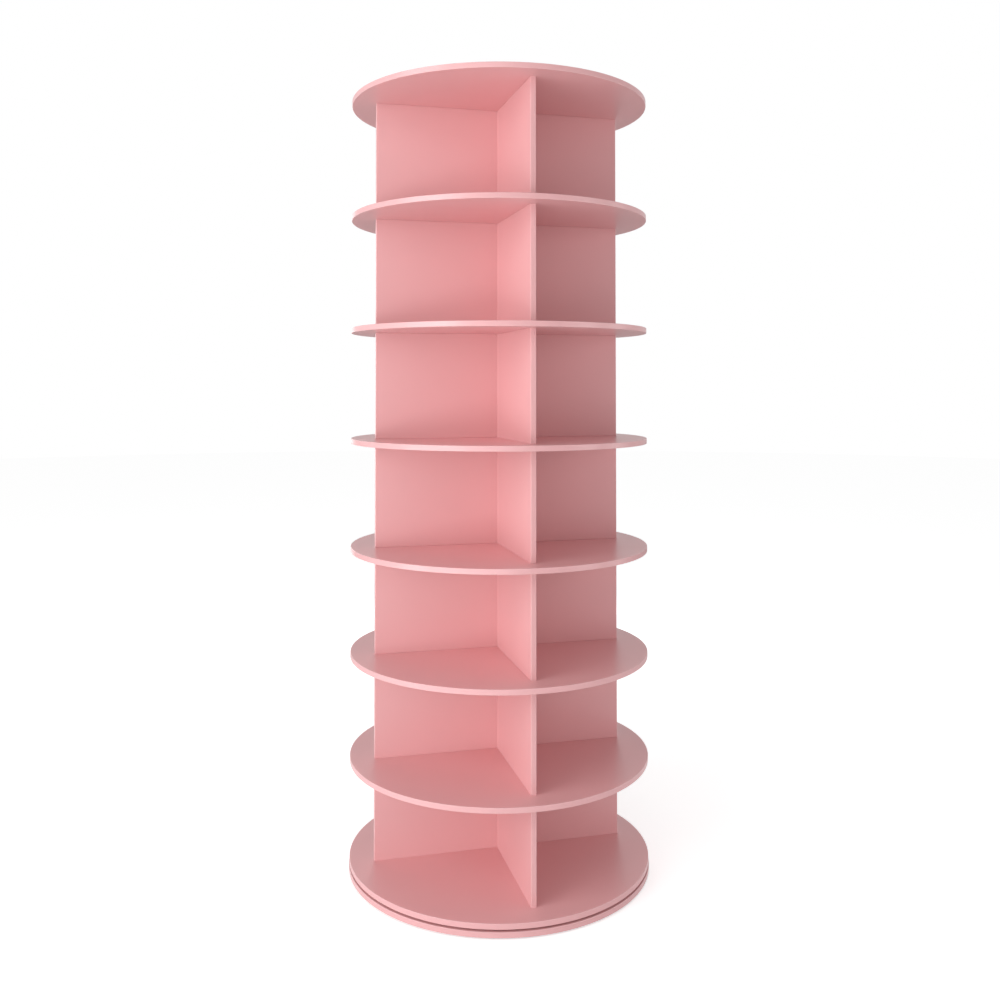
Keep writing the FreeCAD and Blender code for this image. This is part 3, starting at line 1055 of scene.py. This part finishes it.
# Studio lamps: name, degrees from the camera's side towards the right, distance from the axis, height
# above the floor, width, depth and watts
LAMPS = (
    ("key_softbox", -54, 3.0, 1.9, 1.7, 2.0, 35.2),
    ("near_key_softbox", -35, 3.0, 1.1, 1.0, 2.0, 21.7),
    ("low_left_strip", -60, 3.0, 0.45, 1.2, 0.7, 13.6),
    ("low_front_strip", -10, 3.4, 0.4, 2.4, 0.7, 16.6),
    ("high_front_panel", -10, 3.0, 2.9, 2.0, 1.0, 9.2),
    ("right_softbox", 65, 3.0, 1.1, 1.0, 2.0, 14.6),
    ("far_right_softbox", 95, 3.0, 1.1, 1.0, 2.0, 11.6),
    ("rear_left_softbox", -150, 3.0, 1.1, 1.0, 2.0, 8.3),
    ("back_softbox", 180, 3.0, 1.1, 0.9, 2.0, 14.0),
    ("overhead_softbox", 0, 0.0, 4.0, 1.2, 1.2, 14.0),
)
LAMP_TARGET = Vector((0.0, 0.0, 0.95))


def from_camera_side(degrees, distance, height):
    """A place round the axis, turned from the camera's side towards the right of its picture."""
    angle = math.radians(degrees) - settings().studio.camera_turn
    return Vector((math.sin(angle) * distance, -math.cos(angle) * distance, height))


def add_lamp(name, degrees, distance, height, width, depth, watts):
    light = bpy.data.lights.new(name, "AREA")
    light.shape = "RECTANGLE"
    light.size, light.size_y, light.energy = width, depth, watts
    lamp = add_object(name, light)
    lamp.location = from_camera_side(degrees, distance, height)
    lamp.rotation_euler = (LAMP_TARGET - lamp.location).to_track_quat("-Z", "Y").to_euler()


def add_camera():
    studio = settings().studio
    view = bpy.data.cameras.new("camera")
    view.sensor_width = SENSOR_WIDTH
    view.lens = studio.camera_lens
    view.shift_x, view.shift_y = studio.shift_x, studio.shift_y
    camera = add_object("camera", view)
    camera.location = from_camera_side(0.0, studio.camera_distance, studio.camera_height)
    camera.rotation_euler = (math.radians(90) + studio.camera_tilt, 0.0, -studio.camera_turn)
    bpy.context.scene.camera = camera


def seen(tree):
    """Two masks: what the camera sees directly, and what a reflection or a clear surface shows."""
    rays = add(tree, "LightPath").outputs
    mirrored = math_node(tree, "MAXIMUM", rays["Is Glossy Ray"], rays["Is Transmission Ray"])
    return rays["Is Camera Ray"], mirrored


def white_walls():
    """A white world that lights the tower softly."""
    studio = settings().studio
    world = bpy.data.worlds.new("white_walls")
    world.use_nodes = True
    tree = world.node_tree
    camera, mirrored = seen(tree)
    shown = math_node(tree, "MAXIMUM", camera, math_node(tree, "MULTIPLY", mirrored, studio.wall_shine))
    strength = math_node(tree, "MAXIMUM", shown, studio.wall_light)
    tree.links.new(strength, tree.nodes["Background"].inputs["Strength"])
    tree.nodes["Background"].inputs["Color"].default_value = WHITE
    bpy.context.scene.world = world


def floor_finish():
    """A pale matt floor that looks white where it is lit and keeps the tower's shadow."""
    studio = settings().studio
    made, tree, shader = new_finish("studio_floor")
    shader.inputs["Specular IOR Level"].default_value = 0.0
    shader.inputs["Roughness"].default_value = 1.0
    shader.inputs["Emission Color"].default_value = WHITE
    place = position(tree)
    toned = drifting(tree, "floor", place, patch=0.6, amount=0.01, shade=0.5)
    join(tree, shader, "Base Color", toned)
    away = add(tree, "VectorMath", {0: place}, operation="LENGTH").outputs["Value"]

    def graded(near, far):
        """A value that goes from near, by the tower, to far, beyond the lamps."""
        start = {"Value": away, "From Min": studio.shadow_reach, "From Max": studio.lamp_reach}
        ends = {"To Min": near, "To Max": far}
        return add(tree, "MapRange", {**start, **ends}, interpolation_type="SMOOTHSTEP").outputs[0]

    camera, mirrored = seen(tree)
    direct = math_node(tree, "MULTIPLY", camera, graded(studio.near_lift, studio.far_lift))
    reflected = math_node(tree, "MULTIPLY", mirrored, graded(studio.near_shine, studio.far_shine))
    join(tree, shader, "Emission Strength", math_node(tree, "ADD", direct, reflected))
    return made


class SHOETOWER_OT_stage(Operator):
    """Set up the floor, the white walls, the lamps and the camera"""

    bl_idname = "shoe_tower.stage"
    bl_label = "Studio"

    def execute(self, context):
        bm = bmesh.new()
        radius = settings().studio.floor_radius
        bmesh.ops.create_circle(bm, cap_ends=True, radius=radius, segments=FLOOR_STEPS)
        add_object("studio_floor", to_mesh(bm, "studio_floor", floor_finish()))
        white_walls()
        for lamp in LAMPS:
            add_lamp(*lamp)
        add_camera()
        context.scene.view_settings.view_transform = "Standard"
        return {"FINISHED"}


PIECES = (
    SHOETOWER_OT_boards,
    SHOETOWER_OT_panels,
    SHOETOWER_OT_screw_caps,
    SHOETOWER_OT_foot_pads,
    SHOETOWER_OT_dowels,
    SHOETOWER_OT_bearing,
    SHOETOWER_OT_screws,
    SHOETOWER_OT_stage,
)


class SHOETOWER_PT_sidebar(Panel):
    """Lists the tower's pieces in the order in which they are made"""

    bl_idname = "SHOETOWER_PT_sidebar"
    bl_label = "Shoe Tower"
    bl_space_type = "VIEW_3D"
    bl_region_type = "UI"
    bl_category = "Shoe Tower"

    def draw(self, context):
        column = self.layout.column(align=True)
        for piece in PIECES:
            column.operator(piece.bl_idname)
        for name in ("joinery", "fittings", "colours", "studio"):
            group = getattr(context.scene.shoe_tower, name)
            box = self.layout.box()
            box.label(text=name.title())
            for value in group.__annotations__:
                box.prop(group, value)


CLASSES = (
    JoinerySizes,
    FittingSizes,
    FinishColours,
    StudioSettings,
    ShoeTowerSettings,
    *PIECES,
    SHOETOWER_PT_sidebar,
)


def register():
    for each in CLASSES:
        bpy.utils.register_class(each)
    bpy.types.Scene.shoe_tower = PointerProperty(type=ShoeTowerSettings)


def unregister():
    del bpy.types.Scene.shoe_tower
    for each in reversed(CLASSES):
        bpy.utils.unregister_class(each)


def main():
    register()
    for piece in PIECES:
        family, name = piece.bl_idname.split(".")
        getattr(getattr(bpy.ops, family), name)()


if __name__ == "__main__":
    main()
